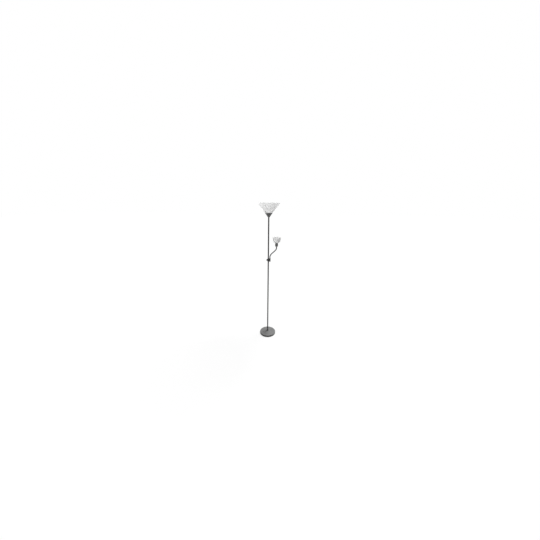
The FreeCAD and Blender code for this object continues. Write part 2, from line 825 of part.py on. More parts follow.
def reading_shade():
    # A bell, open upwards: a floor on the cup's rim, a round shoulder and a steep wall.
    hole = "(readingSocketRadius + 2 * slipFit)"
    reach = "(bellShoulderRadius - bellFloorRadius)"
    round_radius = f"(({reach}^2 + bellShoulderHeight^2) / (2 * bellShoulderHeight))"
    inner_reach = f"({reach} - shadeWall)"
    inner_rise = "(bellShoulderHeight - shadeWall)"
    inner_round = f"(({inner_reach}^2 + {inner_rise}^2) / (2 * {inner_rise}))"
    return turned("reading_shade", [
        (hole, "0"),
        ("bellFloorRadius", "0", round_radius),
        ("bellShoulderRadius", "bellShoulderHeight"),
        ("bellRimRadius", "bellHeight"),
        ("bellRimRadius - shadeWall", "bellHeight"),
        ("bellShoulderRadius - shadeWall", "bellShoulderHeight", f"-{inner_round}"),
        ("bellFloorRadius", "shadeWall"),
        (hole, "shadeWall"),
    ])


def reading_light(x, pivot):
    x = str(x)
    floor = f"({pivot} + headRise)"
    socket = f"({floor} + readingCupWall + locknutHeight)"
    shell = f"({socket} + readingSocketCapHeight)"
    shade = f"({floor} + readingCupHeight)"
    seat(neck_upper_ferrule(), str(pivot), x)
    seat(reading_cup(), floor, x)
    seat(hex_nut("reading_nut", "locknutHeight"), f"{floor} + readingCupWall", x)
    socket_cap("reading", socket, x)
    bore_floor, shell_piece = reading_socket_shell()
    seat(shell_piece, shell, x)
    seat(reading_shade(), shade, x)
    screw_ring("reading", f"{shade} + shadeWall", x)
    bulb("reading", f"{shell} + {bore_floor}", x)


# ---- The whole lamp

base_pad()
base_weight()
base_cover()
base_fastening()
cord_gland()
pole()
foot_collar()
junction_body()
junction_fastening()
switch_knob(rotary_switch())
uplight()
reading_light(*neck())
doc.recompute()

for item in doc.Objects:
    if "Invalid" in item.State or "Error" in item.State:
        raise RuntimeError(f"{item.Label} is {item.State}")
os.makedirs("parts", exist_ok=True)
for piece in nodes:
    if piece.Shape.isNull() or not piece.Shape.isValid():
        raise RuntimeError(f"{piece.Label} has no valid shape")
for piece in nodes:
    piece.Shape.exportStep(f"parts/{piece.Label}.step")
    box = piece.Shape.BoundBox
    print(f"{piece.Label:24s} {len(piece.Shape.Solids)} solid {piece.Shape.Volume / 1000:9.2f} cm3 "
          f"z {box.ZMin:8.2f} {box.ZMax:8.2f}  x {box.XMin:8.2f} {box.XMax:8.2f}")
print(len(nodes), "nodes")
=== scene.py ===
import json
import math

import bmesh
import bpy
from mathutils import Matrix, Vector


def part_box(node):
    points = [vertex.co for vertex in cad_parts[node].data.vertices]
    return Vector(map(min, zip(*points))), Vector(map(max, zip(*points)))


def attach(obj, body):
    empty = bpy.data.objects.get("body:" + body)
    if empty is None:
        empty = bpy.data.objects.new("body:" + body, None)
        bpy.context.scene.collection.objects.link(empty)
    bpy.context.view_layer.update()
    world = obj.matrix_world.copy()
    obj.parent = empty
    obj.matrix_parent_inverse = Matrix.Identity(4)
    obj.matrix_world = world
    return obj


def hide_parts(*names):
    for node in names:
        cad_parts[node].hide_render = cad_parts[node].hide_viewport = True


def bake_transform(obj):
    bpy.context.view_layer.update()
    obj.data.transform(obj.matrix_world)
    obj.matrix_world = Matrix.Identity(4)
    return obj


# Torchiere floor lamp with a reading light on a bending neck, dressed on its CAD frame.
# Outlines are pairs of radius and height in millimetres from the piece's seat. A third value rounds
# that corner.

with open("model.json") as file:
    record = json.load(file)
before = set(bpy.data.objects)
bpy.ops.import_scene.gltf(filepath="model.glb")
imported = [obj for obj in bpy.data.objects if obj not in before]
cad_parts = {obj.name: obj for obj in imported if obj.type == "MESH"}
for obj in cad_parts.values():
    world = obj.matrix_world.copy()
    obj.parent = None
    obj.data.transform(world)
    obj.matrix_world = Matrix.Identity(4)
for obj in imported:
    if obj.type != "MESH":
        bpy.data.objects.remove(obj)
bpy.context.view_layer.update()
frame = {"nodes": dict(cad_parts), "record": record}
mm = 0.001
print("frame loaded,", len(frame["nodes"]), "nodes")


# Places and sizes that the CAD gives

def cadBoxOf(node):
    low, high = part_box(node)
    return Vector(low) / mm, Vector(high) / mm


def seatOf(node):
    low, high = cadBoxOf(node)
    return Vector(((low.x + high.x) / 2, (low.y + high.y) / 2, low.z))


def lengthOf(node):
    low, high = cadBoxOf(node)
    return high.z - low.z


bodyOfNode = {node: body for body, nodes in frame["record"]["behaviour"]["bodies"].items() for node in nodes}
slotOfNode = {entry["node"]: entry["material_slot"] for entry in frame["record"]["subparts"]}


# Material helpers

def linearColour(hexCode):
    channels = [int(hexCode[place:place + 2], 16) / 255 for place in (1, 3, 5)]
    return [c / 12.92 if c <= 0.04045 else ((c + 0.055) / 1.055) ** 2.4 for c in channels] + [1.0]


def addNode(tree, kind, settings, links=None):
    node = tree.nodes.new(kind)
    for key, value in settings.items():
        if hasattr(node, key):
            setattr(node, key, value)
        else:
            node.inputs[key].default_value = value
    for socket, source in (links or {}).items():
        tree.links.new(source, node.inputs[socket])
    return node


def newMaterial(name, shaderSettings):
    material = bpy.data.materials.new(name)
    material.use_nodes = True
    tree = material.node_tree
    tree.nodes.clear()
    shader = addNode(tree, "ShaderNodeBsdfPrincipled", shaderSettings)
    addNode(tree, "ShaderNodeOutputMaterial", {}, {"Surface": shader.outputs["BSDF"]})
    place = {"Vector": addNode(tree, "ShaderNodeTexCoord", {}).outputs["Object"]}
    return material, tree, shader, place


def perMetre(sizeMm):
    # The scale that makes a pattern's features this large. At scale 1 they are about 1 m.
    return 1 / (sizeMm * mm)


def dressSurface(tree, shader, look, tone, gloss=None, relief=None):
    # Tone runs from dark to light, gloss from smooth to rough, and relief stands up by its depth.
    ramp = addNode(tree, "ShaderNodeValToRGB", {}, {"Fac": tone})
    colours = (look["dark"], look["light"])
    for element, position, colour in zip(ramp.color_ramp.elements, look["spread"], colours):
        element.position = position
        element.color = linearColour(colour)
    tree.links.new(ramp.outputs["Color"], shader.inputs["Base Color"])
    if gloss:
        span = addNode(tree, "ShaderNodeMapRange", {"To Min": look["smooth"], "To Max": look["rough"]},
                       {"Value": gloss})
        tree.links.new(span.outputs["Result"], shader.inputs["Roughness"])
    if relief:
        settings = {"Distance": look["depthMm"] * mm, "Strength": look["strength"]}
        bump = addNode(tree, "ShaderNodeBump", settings, {"Height": relief})
        tree.links.new(bump.outputs["Normal"], shader.inputs["Normal"])


# Materials of the lamp

noiseSpread = (0.35, 0.65)  # nearly all of a noise pattern lies between these
coatLook = {"dark": "#757575", "light": "#7e7e7e", "spread": noiseSpread, "smooth": 0.34, "rough": 0.44,
            "cloudMm": 45, "peelMm": 2.2, "depthMm": 0.03, "strength": 1.0}
# The tubes take the same coat, painted darker: painted shade for their upright sides, which get less light.
shadedTubeLook = {**coatLook, "dark": "#515151", "light": "#5a5a5a"}


def satinPowderCoat(name, look, shaderSettings):
    # Polyester powder coat: satin grey, with faint orange peel and a slow drift of tone.
    material, tree, shader, place = newMaterial(name, shaderSettings)
    cloud = addNode(tree, "ShaderNodeTexNoise", {"Scale": perMetre(look["cloudMm"])}, place).outputs["Fac"]
    peel = addNode(tree, "ShaderNodeTexNoise", {"Scale": perMetre(look["peelMm"]), "Detail": 3.0}, place)
    dressSurface(tree, shader, look, cloud, cloud, peel.outputs["Fac"])
    return material


# The spun cups' tone is a shade lighter than the coat's: painted light on their down-facing sides.
litSpunLook = {"dark": "#777777", "light": "#828282", "spread": noiseSpread, "smooth": 0.30, "rough": 0.40,
            "cloudMm": 30, "ringMm": 9.425, "ringWobble": 1.5, "depthMm": 0.02, "strength": 0.6}
waveTurn = math.tau / 20  # a wave texture's bands are this far apart at scale 1


def coatedSpinning(name, look, shaderSettings):
    # Spun steel under the same coat: the forming tool leaves faint rings that the coat doesn't hide.
    # Real ones are about 1.5 mm apart, and these are six times as coarse, so that they show.
    material, tree, shader, place = newMaterial(name, shaderSettings)
    cloud = addNode(tree, "ShaderNodeTexNoise", {"Scale": perMetre(look["cloudMm"])}, place).outputs["Fac"]
    turning = {"Scale": perMetre(look["ringMm"] / waveTurn), "bands_direction": "Z",
               "Distortion": look["ringWobble"], "Detail": 1.0}
    rings = addNode(tree, "ShaderNodeTexWave", turning, place).outputs["Fac"]
    dressSurface(tree, shader, look, cloud, rings, rings)
    return material


hoseShadeLook = {"dark": "#1a1a1a", "light": "#505050", "spread": (0.05, 0.6), "smooth": 0.24, "rough": 0.42,
            "scuffMm": 5, "depthMm": 0.01, "strength": 1.0}


def coatedSteelHose(name, look, shaderSettings):
    # Wound steel strip, coated grey: painted light on the crests, painted shade in the seams between the
    # turns, and a scuffed gloss.
    material, tree, shader, place = newMaterial(name, shaderSettings)
    crest = addNode(tree, "ShaderNodeAttribute", {"attribute_name": "crest"}).outputs["Fac"]
    scuff = addNode(tree, "ShaderNodeTexNoise", {"Scale": perMetre(look["scuffMm"]), "Detail": 4.0}, place)
    dressSurface(tree, shader, look, crest, scuff.outputs["Fac"], scuff.outputs["Fac"])
    return material


opalLook = {"dark": "#f5f5f5", "light": "#fafafa", "spread": noiseSpread, "smooth": 0.40, "rough": 0.52,
            "cloudMm": 70, "frostMm": 0.9, "depthMm": 0.015, "strength": 0.5, "passing": 0.56}


def frostedOpal(name, look, shaderSettings):
    # Opal thermoplastic with a frosted face: a little over half of the light goes through, spread so
    # wide that only tone shows. The frost is drawn several times as coarse as it is, to show close up.
    material, tree, shader, place = newMaterial(name, shaderSettings)
    cloud = addNode(tree, "ShaderNodeTexNoise", {"Scale": perMetre(look["cloudMm"])}, place).outputs["Fac"]
    frost = addNode(tree, "ShaderNodeTexNoise", {"Scale": perMetre(look["frostMm"])}, place).outputs["Fac"]
    dressSurface(tree, shader, look, cloud, cloud, frost)
    tone = shader.inputs["Base Color"].links[0].from_socket
    through = addNode(tree, "ShaderNodeBsdfTranslucent", {}, {"Color": tone})
    both = addNode(tree, "ShaderNodeMixShader", {"Fac": look["passing"]},
                   {1: shader.outputs["BSDF"], 2: through.outputs["BSDF"]})
    tree.links.new(both.outputs["Shader"], tree.nodes["Material Output"].inputs["Surface"])
    return material


whiteLook = {"dark": "#dedcd6", "light": "#e8e6e0", "spread": noiseSpread, "smooth": 0.30, "rough": 0.38,
             "cloudMm": 25, "grainMm": 0.8, "depthMm": 0.008, "strength": 1.0}
blackLook = {"dark": "#353535", "light": "#404040", "spread": noiseSpread, "smooth": 0.38, "rough": 0.50,
             "cloudMm": 25, "grainMm": 0.7, "depthMm": 0.03, "strength": 1.0}
sheathLook = {"dark": "#cfcec8", "light": "#dad9d3", "spread": noiseSpread, "smooth": 0.40, "rough": 0.50,
              "cloudMm": 12, "grainMm": 1.5, "depthMm": 0.01, "strength": 1.0}


def mouldedPlastic(name, look, shaderSettings):
    # Injection moulded: an even colour, and the grain of a spark-eroded mould, coarsened so that it shows.
    material, tree, shader, place = newMaterial(name, shaderSettings)
    cloud = addNode(tree, "ShaderNodeTexNoise", {"Scale": perMetre(look["cloudMm"])}, place).outputs["Fac"]
    fine = addNode(tree, "ShaderNodeTexNoise", {"Scale": perMetre(look["grainMm"]), "Detail": 3.0}, place)
    dressSurface(tree, shader, look, cloud, fine.outputs["Fac"], fine.outputs["Fac"])
    return material


zincLook = {"dark": "#9a988f", "light": "#b9b7ad", "spread": (0.1, 0.7), "smooth": 0.25, "rough": 0.45,
            "cellMm": 3}
capLook = {"dark": "#a5a196", "light": "#c8c4b9", "spread": (0.1, 0.7), "smooth": 0.20, "rough": 0.36,
           "cellMm": 6}


def platedMetal(name, look, shaderSettings):
    # Bright plating on a turned or pressed piece: metallic, a little cloudy from handling.
    material, tree, shader, place = newMaterial(name, shaderSettings)
    scale = {"Scale": perMetre(look["cellMm"])}
    cells = addNode(tree, "ShaderNodeTexVoronoi", scale, place).outputs["Distance"]
    cloud = addNode(tree, "ShaderNodeTexNoise", scale, place).outputs["Fac"]
    dressSurface(tree, shader, look, cells, cloud)
    return material


foamLook = {"dark": "#101011", "light": "#1e1e1f", "spread": (0.1, 0.6), "cellMm": 0.9, "depthMm": 0.25,
            "strength": 0.5}
concreteLook = {"dark": "#7b7872", "light": "#98958e", "spread": (0.1, 0.6), "cellMm": 5, "depthMm": 0.4,
                "strength": 0.5}


def cellularSolid(name, look, shaderSettings):
    # A dull body full of small voids, as in closed-cell foam and in cast mortar.
    material, tree, shader, place = newMaterial(name, shaderSettings)
    cells = addNode(tree, "ShaderNodeTexVoronoi", {"Scale": perMetre(look["cellMm"])}, place)
    dressSurface(tree, shader, look, cells.outputs["Distance"], relief=cells.outputs["Distance"])
    return material


glassLook = {"dark": "#ecebe6", "light": "#f6f5f2", "spread": noiseSpread, "smooth": 0.40, "rough": 0.55,
             "etchMm": 9}


def etchedGlass(name, look, shaderSettings):
    # Soda-lime glass etched inside: white and satin, lets light pass but shows nothing behind it.
    material, tree, shader, place = newMaterial(name, shaderSettings)
    etch = addNode(tree, "ShaderNodeTexNoise", {"Scale": perMetre(look["etchMm"])}, place).outputs["Fac"]
    dressSurface(tree, shader, look, etch, etch)
    return material


coatShader = {"Specular IOR Level": 0.2}
paint = satinPowderCoat("satin metallic powder coat", coatLook, coatShader)
shadedTubePaint = satinPowderCoat("satin metallic powder coat with painted shade on tube", shadedTubeLook, coatShader)
litSpunPaint = coatedSpinning("powder-coated spun steel", litSpunLook, {"Metallic": 0.3, "Specular IOR Level": 0.3})
hoseSteel = coatedSteelHose("coated steel strip hose", hoseShadeLook, {"Specular IOR Level": 0.3})
opal = frostedOpal("frosted opal thermoplastic", opalLook, {"IOR": 1.49})
whiteMoulding = mouldedPlastic("white moulded thermoplastic", whiteLook, {"IOR": 1.55})
blackMoulding = mouldedPlastic("black moulded thermoplastic", blackLook, {"IOR": 1.52})
slotMaterials = {
    "foam": cellularSolid("closed-cell foam", foamLook, {"Roughness": 0.9}),
    "concrete": cellularSolid("cast concrete", concreteLook, {"Roughness": 0.85}),
    "grey_paint": paint,
    "neck_metal": hoseSteel,
    "zinc_steel": platedMetal("bright zinc plating", zincLook, {"Metallic": 1.0}),
    "black_plastic": blackMoulding,
    "white_plastic": whiteMoulding,
    "frosted_shade": opal,
    "cable_sheath": mouldedPlastic("white cable sheath", sheathLook, {"IOR": 1.53}),
    "bulb_metal": platedMetal("nickel-plated screw cap", capLook, {"Metallic": 1.0}),
    "bulb_glass": etchedGlass("etched soda-lime glass", glassLook, {"Transmission Weight": 0.3, "IOR": 1.5}),
}
for node, thing in frame["nodes"].items():
    thing.data.materials.clear()
    thing.data.materials.append(slotMaterials[slotOfNode[node]])
print("materials ready,", len(bpy.data.materials))


# Mesh helpers

turnSteps = 96
sharpCorner = math.radians(38)
weldMm = 0.002
onAxisMm = 0.00001
cutMm = 0.0001
threadForm = {"sunk": 0.4, "root": 0.36, "crest": 0.12}  # half widths are shares of the pitch


def arc(start, end, radius, count=8):
    # Points from start to end along an arc. A positive radius turns left, a negative one right.
    start, end = Vector(start), Vector(end)
    chord = end - start
    offset = math.sqrt(max(radius ** 2 - (chord.length / 2) ** 2, 0))
    centre = (start + end) / 2 + Vector((-chord.y, chord.x)).normalized() * math.copysign(offset, radius)
    turn = math.copysign(2 * math.asin(min(1, chord.length / 2 / abs(radius))), radius)
    spokes = [Matrix.Rotation(turn * step / count, 2) @ (start - centre) for step in range(count + 1)]
    return [(centre.x + spoke.x, centre.y + spoke.y, 0) for spoke in spokes]


def turnedShape(outline, soften=0.3, steps=turnSteps):
    # Draws the outline as a face, rounds its corners and spins its edge about Z.
    shape = bmesh.new()
    corners = [shape.verts.new((point[0] * mm, 0, point[1] * mm)) for point in outline]
    shape.faces.new(corners)
    for corner, point in zip(corners, outline):
        radius = point[2] if len(point) == 3 else soften
        if point[0] > 0 and radius > 0:
            bmesh.ops.bevel(shape, geom=[corner], offset=radius * mm, offset_type="OFFSET", segments=3,
                            profile=0.5, affect="VERTICES", material=-1, clamp_overlap=True)
    bmesh.ops.delete(shape, geom=shape.faces[:], context="FACES_ONLY")
    onAxis = [edge for edge in shape.edges if all(abs(vert.co.x) < onAxisMm * mm for vert in edge.verts)]
    bmesh.ops.delete(shape, geom=onAxis, context="EDGES")
    bmesh.ops.spin(shape, geom=shape.edges[:] + shape.verts[:], cent=(0, 0, 0), axis=(0, 0, 1),
                   angle=2 * math.pi, steps=steps, use_merge=True)
    return shape


def drill(radius, foot, top, steps=48):
    return turnedShape([(0, foot), (radius, foot), (radius, top), (0, top)], soften=0, steps=steps)


def fillHoles(shape):
    bmesh.ops.holes_fill(shape, edges=[edge for edge in shape.edges if edge.is_boundary], sides=0)
    return shape


def threadShape(size, form, steps=48):
    # A rounded thread, wound up the shell as one closed bar.
    shape = bmesh.new()
    root, crest, pitch = size["shell"], size["crest"], size["pitch"]
    rising = [(root - form["sunk"], -form["root"]), (root, -form["root"]), (crest, -form["crest"])]
    section = rising + [(across, -up) for across, up in reversed(rising)]
    corners = [shape.verts.new((across * mm, 0, (size["threadFoot"] + up * pitch) * mm))
               for across, up in section]
    edges = [shape.edges.new(pair) for pair in zip(corners, corners[1:] + corners[:1])]
    rise = size["threadTop"] - size["threadFoot"]
    count = round(rise / pitch * steps)
    bmesh.ops.spin(shape, geom=edges + corners, cent=(0, 0, 0), axis=(0, 0, 1),
                   angle=2 * math.pi * rise / pitch, dvec=(0, 0, rise / count * mm), steps=count)
    return fillHoles(shape)


def joined(shapes):
    whole = bmesh.new()
    for shape in shapes:
        mesh = bpy.data.meshes.new("joining")
        shape.to_mesh(mesh)
        shape.free()
        whole.from_mesh(mesh)
        bpy.data.meshes.remove(mesh)
    return whole


def moved(shape, seatMm, turn=None):
    if turn:
        bmesh.ops.rotate(shape, verts=shape.verts, cent=(0, 0, 0), matrix=turn)
    bmesh.ops.translate(shape, verts=shape.verts, vec=Vector(seatMm) * mm)
    return shape


def tidy(shape):
    bmesh.ops.remove_doubles(shape, verts=shape.verts, dist=weldMm * mm)
    bmesh.ops.recalc_face_normals(shape, faces=shape.faces)
    return shape


def asObject(name, shape):
    mesh = bpy.data.meshes.new(name)
    tidy(shape).to_mesh(mesh)
    shape.free()
    thing = bpy.data.objects.new(name, mesh)
    bpy.context.collection.objects.link(thing)
    return thing


def settled(thing):
    # The mesh with its modifiers applied.
    shaped = thing.evaluated_get(bpy.context.evaluated_depsgraph_get())
    mesh = bpy.data.meshes.new_from_object(shaped)
    thing.modifiers.clear()
    old, thing.data = thing.data, mesh
    bpy.data.meshes.remove(old)
    return thing


def combine(thing, operation, shapes):
    tools = [asObject("tool", shape) for shape in shapes]
    for tool in tools:
        cut = thing.modifiers.new("combine", "BOOLEAN")
        cut.operation = operation
        cut.solver = "EXACT"
        cut.object = tool
    settled(thing)
    for tool in tools:
        mesh = tool.data
        bpy.data.objects.remove(tool)
        bpy.data.meshes.remove(mesh)
    return thing


def dressed(thing, material, sharp=sharpCorner, evenNormals=True):
    # Smooth faces, sharp only at real corners.
    mesh = thing.data
    shape = bmesh.new()
    shape.from_mesh(mesh)
    for face in shape.faces:
        face.smooth = True
    for edge in shape.edges:
        edge.smooth = len(edge.link_faces) == 2 and edge.calc_face_angle(0) < sharp
    shape.to_mesh(mesh)
    shape.free()
    mesh.materials.clear()
    mesh.materials.append(material)
    if evenNormals:
        thing.modifiers.new("even normals", "WEIGHTED_NORMAL").keep_sharp = True
    return thing


def stand(thing, node):
    # Takes a CAD node's place, body and slot.
    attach(thing, bodyOfNode[node])
    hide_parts(node)
    return thing


def turnedPiece(name, node, outline, material, soften=0.3, steps=turnSteps):
    thing = asObject(name, moved(turnedShape(outline, soften, steps), seatOf(node)))
    return stand(dressed(thing, material), node)


leftward = Matrix.Rotation(math.radians(-90), 3, "Y")
backward = Matrix.Rotation(math.radians(-90), 3, "X")


# Base

padShape = {"radius": 102, "thickness": 2, "edge": 0.6}
pad = [(0, 0), (padShape["radius"], 0, padShape["edge"]),
       (padShape["radius"], padShape["thickness"], padShape["edge"]), (0, padShape["thickness"])]
turnedPiece("base_foam", "base_pad", pad, slotMaterials["foam"])

coverShape = {"radius": 110, "wall": 1.2, "lip": 4.7, "edge": 25, "shoulder": 5, "shoulderTop": 105,
              "step": 64, "stepFoot": 30, "stepRise": 1.5, "crown": 24, "height": 37, "bore": 5.1,
              "rolledEdge": 0.55, "lipBend": 1.1, "lipInside": 0.4, "crownBend": 3, "stepBend": 0.9,
              "holeRadius": 5.1, "holeHeight": 11, "holeFrom": 90, "holeTo": 120}


def pressedCover(size):
    # Heights from the lip that clears the floor. The outline goes up outside and comes back inside.
    wall, radius, bend, top = size["wall"], size["radius"], size["shoulder"], size["edge"]
    stepFoot = (size["step"] + size["stepRise"], size["stepFoot"])
    stepTop = (size["step"], size["stepFoot"] + size["stepRise"])
    outside = [(radius - size["lip"], 0, size["rolledEdge"]), (radius, 0, size["lipBend"])]
    outside += arc((radius, top - bend), (size["shoulderTop"], top), bend, count=10)
    outside += [(*stepFoot, size["stepBend"]), (*stepTop, size["stepBend"]),
                (size["crown"], size["height"], size["crownBend"]), (size["bore"], size["height"])]
    inside = [(size["bore"], size["height"] - wall),
              (size["crown"], size["height"] - wall, size["crownBend"]),
              (stepTop[0], stepTop[1] - wall, size["stepBend"]),
              (stepFoot[0], stepFoot[1] - wall, size["stepBend"])]
    inside += arc((size["shoulderTop"], top - wall), (radius - wall, top - bend), wall - bend, count=10)
    return outside + inside + [(radius - wall, wall, size["lipInside"]),
                               (radius - size["lip"], wall, size["rolledEdge"])]


cover = asObject("base_shell", turnedShape(pressedCover(coverShape), soften=0.2, steps=160))
hole = drill(coverShape["holeRadius"], coverShape["holeFrom"], coverShape["holeTo"])
combine(cover, "DIFFERENCE", [moved(hole, (0, 0, coverShape["holeHeight"]), backward)])
cover.data.transform(Matrix.Translation(seatOf("base_cover") * mm))
stand(dressed(cover, paint), "base_cover")

bushShape = {"bore": 3.2, "body": 5, "flange": 8, "thickness": 3, "tail": 8, "barb": 6, "barbAt": -1.7,
             "barbRise": 3, "taper": 1.5, "round": 0.6, "mouth": 0.9, "height": 12}


def barbedBush(size):
    # Drawn from its tail to its flange, and laid down so that the flange stands on the cover's side.
    return [(size["bore"], -size["tail"]), (size["body"], -size["tail"]),
            (size["body"], size["barbAt"] - size["barbRise"]), (size["barb"], size["barbAt"]),
            (size["body"], size["barbAt"]), (size["body"], 0, 0),
            (size["flange"], 0), (size["flange"], size["thickness"] / 2, size["round"]),
            (size["flange"] - size["taper"], size["thickness"], size["round"]),
            (size["bore"], size["thickness"], size["mouth"])]


bushAt = (0, coverShape["radius"], bushShape["height"])
bush = turnedShape(barbedBush(bushShape), soften=0.2, steps=48)
bush = asObject("cord_bush", moved(bush, bushAt, backward))
stand(dressed(bush, blackMoulding), "cord_gland")
print("base made")


# Pole

poleShape = {"radius": 8, "wall": 1.2, "seam": 0.45}
for name in ("lower", "middle", "upper"):
    length = lengthOf(f"pole_{name}")
    bore = poleShape["radius"] - poleShape["wall"]
    tube = [(bore, 0), (poleShape["radius"], 0, poleShape["seam"]),
            (poleShape["radius"], length, poleShape["seam"]), (bore, length)]
    turnedPiece(f"tube_{name}", f"pole_{name}", tube, shadedTubePaint, soften=0.15, steps=64)

collarShape = {"bore": 8.1, "radius": 15, "foot": 2.5, "top": 10, "height": 18, "flare": 36, "footRound": 0.4,
               "topRound": 0.5}
collar = [(collarShape["bore"], 0), (collarShape["radius"], 0, collarShape["footRound"])]
collar += arc((collarShape["radius"], collarShape["foot"]), (collarShape["top"], collarShape["height"]),
              -collarShape["flare"], count=12)
collar += [(collarShape["bore"], collarShape["height"], collarShape["topRound"])]
turnedPiece("pole_collar", "foot_collar", collar, paint, soften=0.2, steps=72)
print("pole made")


# Switch housing: a casting, smooth where its forms meet, with holes drilled after

castingShape = {"barrel": 13, "height": 34, "pad": 8.8, "padFace": 13.6, "padRound": 0.5, "switchAt": 17.6,
                "boss": 8.5, "bossAt": 20, "bossFoot": -4, "bossTop": 39, "webWidth": 9, "webFoot": 3,
                "webTop": 31, "round": 1.0, "grainMm": 0.45, "smoothing": 9}


def castHousing(size):
    edge = size["round"]
    barrel = turnedShape([(0, 0), (size["barrel"], 0, edge), (size["barrel"], size["height"], edge),
                          (0, size["height"])], soften=0, steps=120)
    boss = turnedShape([(0, size["bossFoot"]), (size["boss"], size["bossFoot"], edge),
                        (size["boss"], size["bossTop"], edge), (0, size["bossTop"])], soften=0)
    switchPad = turnedShape([(0, 0), (size["pad"], 0), (size["pad"], size["padFace"], size["padRound"]),
                             (0, size["padFace"])], soften=0)
    web = bmesh.new()
    bmesh.ops.create_cube(web, size=mm)
    webHeight = size["webTop"] - size["webFoot"]
    bmesh.ops.scale(web, verts=web.verts, vec=(size["bossAt"], size["webWidth"], webHeight))
    middle = (size["bossAt"] / 2, 0, size["webFoot"] + webHeight / 2)
    thing = asObject("switch_housing", joined([
        barrel, moved(boss, (size["bossAt"], 0, 0)), moved(switchPad, (0, 0, size["switchAt"]), leftward),
        moved(web, middle)]))
    remesh = thing.modifiers.new("cast", "REMESH")
    remesh.mode = "VOXEL"
    remesh.voxel_size = size["grainMm"] * mm
    soften = thing.modifiers.new("soften", "SMOOTH")
    soften.factor = 0.5
    soften.iterations = size["smoothing"]
    return settled(thing)


drilling = {"plug": 11.25, "plugDepth": 3, "cavity": 10.6, "roof": 32.2, "tube": 5.1, "switch": 4.6,
            "switchFrom": 5, "neck": 5, "neckDepth": 30, "lead": 2.5, "past": 2}


def drilled(thing, size, holes):
    # Each drill runs a little past the face that it enters.
    past, bossTop = holes["past"], size["bossTop"]
    inside = [(0, -past), (holes["plug"], -past), (holes["plug"], holes["plugDepth"]),
              (holes["cavity"], holes["plugDepth"]), (holes["cavity"], holes["roof"]),
              (holes["tube"], holes["roof"]), (holes["tube"], size["height"] + past),
              (0, size["height"] + past)]
    forSwitch = drill(holes["switch"], holes["switchFrom"], size["padFace"] + past)
    forNeck = drill(holes["neck"], bossTop - holes["neckDepth"], bossTop + past)
    forLead = drill(holes["lead"], -size["bossAt"], 0, steps=32)
    return combine(thing, "DIFFERENCE", [
        turnedShape(inside, soften=0), moved(forSwitch, (0, 0, size["switchAt"]), leftward),
        moved(forNeck, (size["bossAt"], 0, 0)), moved(forLead, (0, 0, size["switchAt"]), leftward)])


housing = drilled(castHousing(castingShape), castingShape, drilling)
housingSeat = Vector((0, 0, cadBoxOf("junction_body")[0].z - castingShape["bossFoot"]))
housing.data.transform(Matrix.Translation(housingSeat * mm))
stand(dressed(housing, paint), "junction_body")
print("switch housing made,", len(housing.data.polygons), "faces")


# Switch knob: its axis points left from the pad's face

knobShape = {"radius": 11, "foot": 0.3, "face": 9.3, "edge": 1.4, "dish": 0.5, "dishRadius": 8.4, "recess": 8,
             "recessDepth": 3.3, "grip": 3, "gripEnd": 7.8, "footRound": 0.4, "land": 0.6, "landRound": 0.2,
             "dishRound": 0.3, "flutes": 18, "fluteDepth": 0.6, "fluteFrom": 9.4, "fluteSteps": 10,
             "fluteSharpness": 1.5}
pointerShape = {"from": 3.0, "to": 7.6, "width": 1.1, "stand": 0.12, "sunk": 0.4, "round": 0.1}


def flutedKnob(size):
    dishFloor = size["face"] - size["dish"]
    outline = [(size["recess"], size["foot"]), (size["radius"], size["foot"], size["footRound"]),
               (size["radius"], size["face"], size["edge"]),
               (size["dishRadius"] + size["land"], size["face"], size["landRound"]),
               (size["dishRadius"], dishFloor, size["dishRound"]), (0, dishFloor),
               (0, size["gripEnd"]), (size["grip"], size["gripEnd"]), (size["grip"], size["recessDepth"]),
               (size["recess"], size["recessDepth"])]
    shape = turnedShape(outline, soften=0.1, steps=size["flutes"] * size["fluteSteps"])
    for vert in shape.verts:
        reach = math.hypot(vert.co.x, vert.co.y)
        wave = max(0, math.cos(size["flutes"] * math.atan2(vert.co.y, vert.co.x))) ** size["fluteSharpness"]
        depth = min(1, max(0, reach / mm - size["fluteFrom"])) * size["fluteDepth"] * wave * mm
        vert.co.xy *= (reach - depth) / reach if reach > 0 else 1
    return shape


padSide = (-castingShape["padFace"], 0, housingSeat.z + castingShape["switchAt"])
knob = asObject("turning_knob", moved(flutedKnob(knobShape), padSide, leftward))
stand(dressed(knob, blackMoulding), "switch_knob")

mark = bmesh.new()
bmesh.ops.create_cube(mark, size=mm)
bmesh.ops.scale(mark, verts=mark.verts, vec=(pointerShape["to"] - pointerShape["from"], pointerShape["width"],
                                             pointerShape["sunk"] + pointerShape["stand"]))
bmesh.ops.bevel(mark, geom=mark.edges[:], offset=pointerShape["round"] * mm, offset_type="OFFSET",
                segments=2, profile=0.5, affect="EDGES", material=-1)
markAt = ((pointerShape["from"] + pointerShape["to"]) / 2, 0,
          knobShape["face"] - knobShape["dish"] + (pointerShape["stand"] - pointerShape["sunk"]) / 2)
pointer = asObject("knob_pointer", moved(moved(mark, markAt), padSide, leftward))
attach(dressed(pointer, whiteMoulding), "knob")
print("knob made")


# Lampholders, clamp rings and bulbs of both lights

